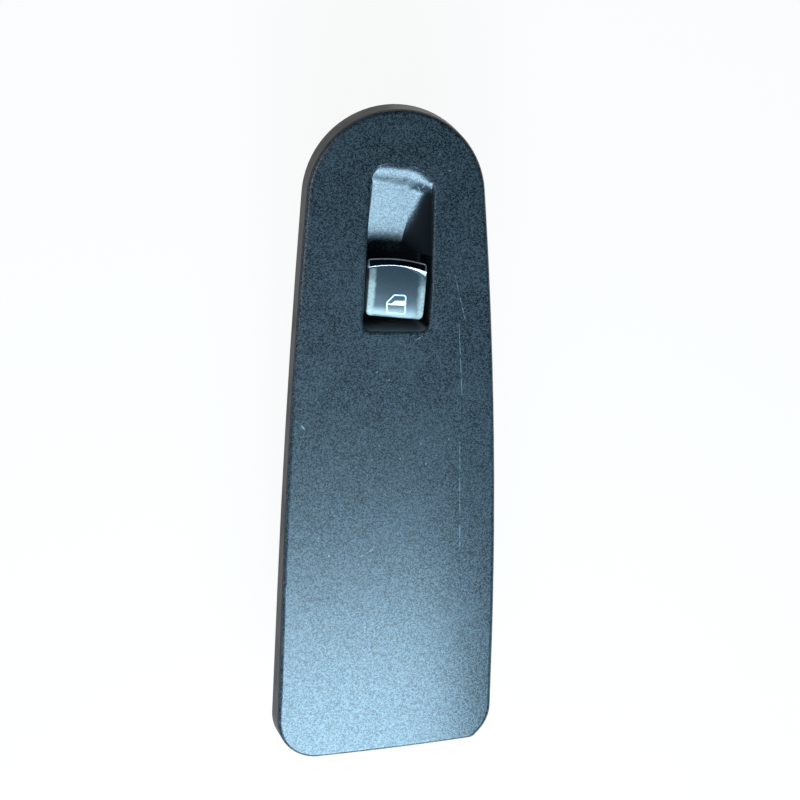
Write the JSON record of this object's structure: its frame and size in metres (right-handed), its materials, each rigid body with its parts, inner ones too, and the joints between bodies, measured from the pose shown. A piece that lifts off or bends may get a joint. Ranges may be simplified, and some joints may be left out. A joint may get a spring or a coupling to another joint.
{
  "type": "power window switch",
  "caption": "Long matt door trim panel with a finger scoop and one recessed window rocker switch, with its housing, board and connector below.",
  "frame": {"origin": "axis of the main locating pin, in the plane of the skirt's foot", "axes": "+Z out of the visible face, +Y along the panel towards its rounded end, +X to the right"},
  "size_m": [0.0765, 0.2237, 0.0446],
  "materials": {
    "panel_paint": "fine grained matt paint",
    "cap_paint": "satin paint",
    "bright_strip": "dark chrome",
    "housing_plastic": "moulded",
    "cover_plastic": "moulded",
    "clear_plastic": "polished",
    "acetal": "moulded",
    "mat_rubber": "silicone",
    "carbon": "conductive",
    "gold_plate": "plated",
    "board_laminate": "solder resist",
    "zinc_screw": "zinc plated",
    "led_white": "moulded",
    "chip_ceramic": "glazed",
    "can_aluminium": "drawn",
    "tin_brass": "tinned",
    "spring_steel": "blackened"
  },
  "bodies": {
    "panel": {"trim_panel": "panel_paint", "retaining_clips": "spring_steel", "switch_housing": "housing_plastic", "base_cover": "cover_plastic", "light_guide": "clear_plastic", "dome_mat": "mat_rubber", "contact_pills": "carbon", "contact_pads": "gold_plate", "circuit_board": "board_laminate", "board_screws": "zinc_screw", "symbol_led": "led_white", "resistors": "chip_ceramic", "capacitor": "can_aluminium", "terminal_header": "cover_plastic", "terminal_pins": "tin_brass"},
    "rocker": {"rocker_cap": "cap_paint", "lip_strip": "bright_strip", "symbol_lens": "clear_plastic"},
    "rear_plunger": {"plunger_rear": "acetal"},
    "front_plunger": {"plunger_front": "acetal"}
  },
  "joints": [
    {"name": "rocker_tilt", "type": "hinge", "parent": "panel", "child": "rocker", "pos_m": [0, 0.035, -0.0015], "axis": [1, 0, 0], "range_deg": [-7, 7], "stiffness_Nm_per_rad": 0.4, "deforming": ["dome_mat"]},
    {"name": "rear_plunger_slide", "type": "slide", "parent": "panel", "child": "rear_plunger", "axis": [0, 0, 1], "range_m": [-0.0004, 0.0004]},
    {"name": "front_plunger_slide", "type": "slide", "parent": "panel", "child": "front_plunger", "axis": [0, 0, 1], "range_m": [-0.0004, 0.0004]}
  ],
  "couplings": [
    {"joint": "rear_plunger_slide", "follows": "rocker_tilt", "m_per_rad": -0.0029},
    {"joint": "front_plunger_slide", "follows": "rocker_tilt", "m_per_rad": 0.0029}
  ]
}
